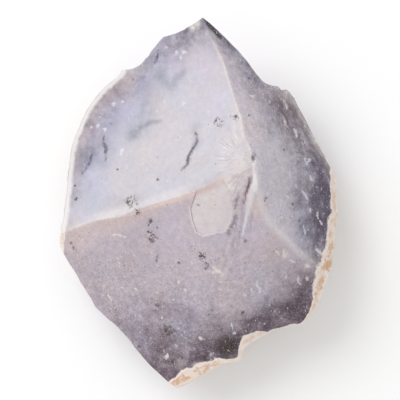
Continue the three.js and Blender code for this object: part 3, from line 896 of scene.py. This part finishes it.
class Kit:
    """Short names for adding and joining a material's nodes. A value is a number, a
    colour, another node's output or the name of one of the fields."""

    def __init__(self, name):
        self.material = bpy.data.materials.new(name)
        self.material.use_nodes = True
        self.nodes = self.material.node_tree.nodes
        self.links = self.material.node_tree.links

    def finish(self, inputs):
        """The material, once its shader's inputs are fed."""
        for name, value in inputs.items():
            self.feed(self.nodes["Principled BSDF"].inputs[name], value)
        return self.material

    def feed(self, socket, value):
        if isinstance(value, str):
            value = self.add("Attribute", "Fac", {}, attribute_name=value)
        if isinstance(value, bpy.types.NodeSocket):
            self.links.new(value, socket)
        else:
            socket.default_value = value

    def add(self, kind, output, inputs, **settings):
        """One output of a new node."""
        node = self.nodes.new("ShaderNode" + kind)
        for name, value in settings.items():
            setattr(node, name, value)
        for key, value in inputs.items():
            self.feed(node.inputs[key], value)
        return node.outputs[output]

    def math(self, operation, *values):
        return self.add("Math", 0, dict(enumerate(values)), operation=operation)

    def times(self, first, second):
        return self.math("MULTIPLY", first, second)

    def scaled(self, value, factor, offset):
        return self.math("MULTIPLY_ADD", value, factor, offset)

    def ramp(self, value, low, high, bottom=0, top=1):
        """From bottom to top as the value goes from low to high, eased at both ends."""
        inputs = dict(enumerate((value, low, high, bottom, top)))
        return self.add("MapRange", 0, inputs, interpolation_type="SMOOTHSTEP")

    def blend(self, factor, under, over, kind="MIX"):
        inputs = {0: factor, 6: under, 7: over}
        return self.add("Mix", 2, inputs, data_type="RGBA", blend_type=kind)

    def cover(self, colour, over, *strengths):
        """A colour under another, which is as strong as the strengths multiplied."""
        factor = strengths[0]
        for strength in strengths[1:]:
            factor = self.times(factor, strength)
        return self.blend(factor, colour, over)

    def shade(self, colour, value):
        """A colour made lighter or darker by a value about 1."""
        return self.blend(1, colour, value, "MULTIPLY")

    def place(self):
        return self.add("TexCoord", "Object", {})

    def mapped(self, stretch=(1, 1, 1), turn=0, shift=(0, 0, 0)):
        rotation = (0, 0, math.radians(turn))
        inputs = {"Vector": self.place(), "Scale": stretch, "Rotation": rotation, "Location": shift}
        return self.add("Mapping", 0, inputs, vector_type="TEXTURE" if turn else "POINT")

    def noise(self, vector, scale, detail, roughness=0.5):
        inputs = {"Vector": vector, "Scale": scale, "Detail": detail, "Roughness": roughness}
        return self.add("TexNoise", "Fac", inputs)

    def grain(self, per_mm, detail=3, roughness=0.5, **place):
        """Noise from 0 to 1."""
        return self.noise(self.mapped(**place), per_mm / MM, detail, roughness)

    def swing(self, *size, **place):
        """The same noise, about 0."""
        return self.math("SUBTRACT", self.grain(*size, **place), 0.5)

    def flecks(self, per_mm, size, share, **place):
        """Scattered flecks in a share of the cells of a random pattern."""
        inputs = {"Vector": self.mapped(**place), "Scale": per_mm / MM}
        away = self.add("TexVoronoi", "Distance", inputs)
        draw = self.add("SeparateColor", 0, {0: away.node.outputs["Color"]})
        chosen = self.math("LESS_THAN", draw, share)
        return self.times(self.ramp(away, size, size * 0.45), chosen)

    def rays(self, centre, spokes, per_mm):
        """Streaks about 0 that spread from a point; their seam is where the bearing is zero."""
        place = self.add("SeparateXYZ", 0, {0: self.place()}).node.outputs
        east, north = (self.math("SUBTRACT", centre[k], place[k]) for k in (0, 1))
        turn = self.math("ARCTAN2", north, east)
        away = self.math("SQRT", self.scaled(east, east, self.times(north, north)))
        inputs = {0: self.times(turn, spokes), 1: self.times(away, per_mm / MM)}
        streaks = self.noise(self.add("CombineXYZ", 0, inputs), scale=1, detail=3)
        return self.math("SUBTRACT", streaks, 0.5)


# Tones of the broken faces: the chalcedony's colour, with painted light and shade for how the lamp
# falls on each face.
RIGHT_FACE_LIT_TONE = tone(200, 193, 204)
FRONT_FACE_LIT_TONE = tone(186, 175, 184)
LEFT_FACE_LIT_TONE = tone(193, 189, 196)
COOL_TONE = tone(172, 177, 201)
LILAC = tone(190, 181, 209)
CHALK = tone(213, 211, 217)
PEACH = tone(202, 181, 174)
MILK = tone(223, 216, 211)
# Brown for the painted shadow in the undercut.
UNDERCUT_SHADOW_TONE = tone(128, 102, 102)
VIOLET_DARK = tone(86, 81, 104)
WINE_DARK = tone(93, 72, 82)
SMOKE = tone(128, 131, 146)
SLATE = tone(84, 86, 104)
INK = tone(54, 52, 64)
RUST = tone(84, 66, 58)
# Black for the black patch, and for the painted shadow along the tip's edge.
BLACK_AND_SHADOW = tone(36, 35, 38)
WHITE = tone(232, 230, 234)
CREAM = tone(238, 226, 218)
PALE = tone(223, 219, 220)
SKIN = tone(176, 170, 170)
EARTH = tone(208, 188, 168)
TAN = tone(210, 170, 136)
TAN_DARK = tone(176, 138, 108)
WARM_CAST = (1.025, 1, 0.97, 1)
COOL_CAST = (0.98, 0.995, 1.02, 1)


def core_colour(kit, ragged, fine):
    """The chalcedony inside the rind."""
    # A tone for each broken face, partly painted light and shade.
    colour = kit.blend("front", RIGHT_FACE_LIT_TONE, FRONT_FACE_LIT_TONE)
    colour = kit.cover(colour, LEFT_FACE_LIT_TONE, "left")
    wisps = kit.grain(0.16, 4, 0.55, stretch=(1, 0.32, 1), turn=24)
    colour = kit.cover(colour, COOL_TONE, "cool", kit.ramp(wisps, 0.3, 0.62, 0.45, 1))
    colour = kit.cover(colour, LILAC, "lilac", kit.ramp(wisps, 0.25, 0.6, 0.4, 0.85))
    drift = kit.ramp(kit.grain(0.11, shift=(0.07, 0, 0)), 0.38, 0.62)
    colour = kit.shade(colour, kit.blend(drift, WARM_CAST, COOL_CAST))
    colour = kit.cover(colour, PEACH, "peach")
    colour = kit.shade(colour, "shade")
    clouds = kit.grain(0.12, 4, 0.55, stretch=(1, 0.5, 1), turn=30)
    colour = kit.shade(colour, kit.scaled(clouds, 0.16, 0.92))

    # The stain, in uneven patches with mottling.
    dark = kit.blend("stain_warmth", VIOLET_DARK, WINE_DARK)
    mottle = kit.grain(0.55, 6, 0.72, shift=(0, 0.02, 0))
    patchy = kit.scaled(kit.grain(0.2, shift=(0.04, 0, 0)), 1.2, -0.39)
    stain = kit.times("stain", kit.scaled(mottle, 1.5, patchy))
    colour = kit.cover(colour, dark, kit.ramp(stain, 0, 1))
    colour = kit.cover(colour, SMOKE, "smudge", kit.ramp(ragged, -0.3, 0.15, 0.6, 1))

    # Milky bruises, splinters and the fine sand of pale and dark grains.
    colour = kit.cover(colour, MILK, "milk", kit.ramp(ragged, -0.35, 0.15, 0.45, 1))
    rays = kit.rays(survey_to_scene(BRUISE_CENTRE), spokes=19, per_mm=0.22)
    rays = kit.times(rays, "splintered")
    colour = kit.shade(colour, kit.scaled(rays, 1.1, 1))
    soft = kit.swing(0.7, 3, 0.6, shift=(0, 0, 0.03))
    grainy = kit.times(fine, kit.scaled("sandy", 1, 0.07))
    grainy = kit.scaled(soft, kit.scaled("sandy", 0.6, 0.12), grainy)
    return kit.shade(colour, kit.math("ADD", grainy, 1))


def marked(kit, colour, ragged, fine):
    """Flecks, scratches, veins, clusters of dark grains, black, and painted shadow at tip and
    undercut.
    """
    crumbled = kit.scaled(fine, 0.9, ragged)
    # Black: the stone's black patch, and painted shadow along the tip's edge.
    colour = kit.cover(colour, BLACK_AND_SHADOW, "black_and_painted_shadow", kit.ramp(crumbled, -0.4, 0, 0.4, 1))
    sand = kit.flecks(2.1, 0.42, kit.times("sandy", 0.5), stretch=(1, 0.7, 1), turn=20)
    colour = kit.cover(colour, MILK, sand, 0.3)
    crowding = kit.ramp(kit.grain(0.22, 3, 0.6, shift=(0.06, 0.01, 0)), 0.46, 0.6, 0.25, 1)
    scratched = kit.times(kit.times("sandy", crowding), 0.62)
    fibres = kit.flecks(0.62, 0.22, scratched, stretch=(0.55, 1.7, 1), turn=14, shift=(0.02, 0, 0))
    colour = kit.cover(colour, MILK, fibres, 0.6)
    hairs = kit.flecks(0.5, 0.2, scratched, stretch=(1.9, 0.5, 1), turn=-28, shift=(0.05, 0, 0.02))
    colour = kit.cover(colour, MILK, hairs, 0.6)
    pepper = kit.flecks(1.1, 0.3, kit.scaled("sandy", 0.18, -0.03), shift=(0, 0.04, 0))
    colour = kit.cover(colour, INK, pepper, 0.45)

    # White scratches, partly creamier on the front face.
    dents = kit.scaled(fine, 2.5, kit.scaled(ragged, 4.5, "white_mark"))
    warmth = kit.ramp(kit.grain(0.15, 2, shift=(0, 0, 0.09)), 0.4, 0.52)
    chalk = kit.cover(CHALK, MILK, warmth, "front")
    colour = kit.cover(colour, chalk, kit.ramp(dents, 1.6, 0.4, 0, 0.82))
    speckle = kit.ramp(kit.grain(1.5, 3, 0.6, shift=(0.05, 0, 0)), 0.47, 0.56)
    colour = kit.cover(colour, RUST, kit.ramp("cluster", 0.2, 0.75), speckle, 0.85)
    # Brown painted shadow in the undercut.
    colour = kit.cover(colour, UNDERCUT_SHADOW_TONE, "undercut_shadow", 0.85)
    colour = kit.cover(colour, WHITE, "white")

    # Veins and specks.
    wobble = kit.scaled(ragged, 2.4, kit.times(fine, 2.6))
    broken = kit.ramp(kit.grain(0.6, 3, 0.6, shift=(0, 0.06, 0)), 0.4, 0.56, 0.3, 0.9)
    veins = kit.ramp(kit.math("ADD", "vein", wobble), 1.6, 0.3)
    colour = kit.cover(colour, SLATE, veins, broken)
    specks = kit.math("ADD", "speck", wobble)
    return kit.cover(colour, INK, kit.ramp(specks, 1.7, 0.3, 0, 0.85))


def rind_colour(kit, rind, fine):
    """Cream at both borders and tan between; on one side white, with a greyer skin."""
    outside = kit.ramp("rind", 0.2, 0.03)
    tan = kit.times(kit.ramp(rind, 0.85, 0.6), kit.ramp(rind, 0.02, 0.25))
    patches = kit.ramp(kit.grain(0.3, 4, 0.65), 0.42, 0.58, 0.15, 1)
    colour = kit.cover(CREAM, TAN, tan, patches, "rind_tan")
    colour = kit.cover(colour, PALE, "pale_rim")
    earthy = kit.ramp(kit.grain(0.07, 5, 0.65, shift=(0, 0, 0.05)), 0.42, 0.62, 0, 0.7)
    colour = kit.cover(colour, EARTH, outside, earthy)
    worn = kit.ramp(kit.grain(0.16, 5, 0.62, shift=(0.08, 0, 0)), 0.38, 0.62, 0.25, 1)
    colour = kit.cover(colour, SKIN, outside, "pale_rim", worn)
    pits = kit.flecks(1.2, 0.3, kit.scaled("pale_rim", -0.2, 0.28), shift=(0.03, 0, 0))
    colour = kit.cover(colour, TAN_DARK, pits, 0.4)
    return kit.shade(colour, kit.scaled(fine, 0.35, 1))


def agate_material():
    kit = Kit("agate")
    ragged = kit.swing(0.8, 4, 0.6)
    fine = kit.swing(2.2, 4, 0.7, shift=(0.01, 0, 0))
    colour = marked(kit, core_colour(kit, ragged, fine), ragged, fine)

    # The rind's inner border is crisp, or soft on the pale side.
    lumpy = kit.swing(0.3, 3, 0.55, shift=(0, 0, 0.02))
    roughly = kit.scaled(ragged, 0.4, kit.times(lumpy, 1.1))
    rind = kit.math("ADD", roughly, "rind")
    crisp, soft = kit.ramp(rind, 1.12, 0.88), kit.ramp(rind, 1.5, 0.6)
    in_rind = kit.scaled("pale_rim", kit.math("SUBTRACT", soft, crisp), crisp)
    colour = kit.cover(colour, rind_colour(kit, rind, fine), in_rind)

    crumb = kit.times(in_rind, kit.grain(1.6, 5, 0.7))
    relief = kit.scaled(crumb, 3, kit.times(fine, 0.8))
    depth = {"Height": relief, "Distance": 0.08 * MM, "Strength": 0.8}
    return kit.finish({
        "Base Color": colour,
        "Roughness": kit.ramp(in_rind, 0, 1, 0.48, 0.9),
        "Normal": kit.add("Bump", "Normal", depth),
        "Specular IOR Level": 0.35,
        "Subsurface Weight": 0.12,
        "Subsurface Radius": (1, 0.9, 0.9),
        "Subsurface Scale": 1 * MM,
    })


stone.data.materials.clear()
stone.data.materials.append(agate_material())

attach(stone, "root")
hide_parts("agate")

# ---- Floor, light and camera ----

CAMERA_PLACE = (Vector((0.4, 0.55, 475)) + SURVEY_TO_FRAME) * MM
LENS = 150
FLOOR_SIZE = 3
KEY_PLACE = Vector((-0.5, 0.5, 0.7))
KEY_SIZE = 0.8
KEY_POWER = 5.4
SKY_STRENGTH = 0.74
scene = bpy.context.scene


def put_in_scene(name, data):
    thing = bpy.data.objects.new(name, data)
    scene.collection.objects.link(thing)
    return thing


def add_floor():
    deselect()
    bpy.ops.mesh.primitive_plane_add(size=FLOOR_SIZE)
    floor = bpy.context.object
    floor.name = "floor"
    pale = Kit("pale_floor").finish({"Base Color": (0.97, 0.97, 0.97, 1), "Roughness": 0.9})
    floor.data.materials.append(pale)


def add_lights():
    """A large soft lamp, and a white surround."""
    light = bpy.data.lights.new("key", "AREA")
    light.shape = "DISK"
    light.size = KEY_SIZE
    light.energy = KEY_POWER
    lamp = put_in_scene("key", light)
    lamp.location = KEY_PLACE
    lamp.rotation_euler = (-KEY_PLACE).to_track_quat("-Z", "Y").to_euler()
    world = bpy.data.worlds.new("studio")
    world.use_nodes = True
    sky = world.node_tree.nodes["Background"]
    sky.inputs["Color"].default_value = (1, 1, 1, 1)
    sky.inputs["Strength"].default_value = SKY_STRENGTH
    scene.world = world


def add_camera():
    data = bpy.data.cameras.new("camera")
    data.lens = LENS
    data.clip_start = 0.01
    camera = put_in_scene("camera", data)
    camera.location = CAMERA_PLACE
    scene.camera = camera


add_floor()
add_lights()
add_camera()
scene.view_settings.view_transform = "Standard"
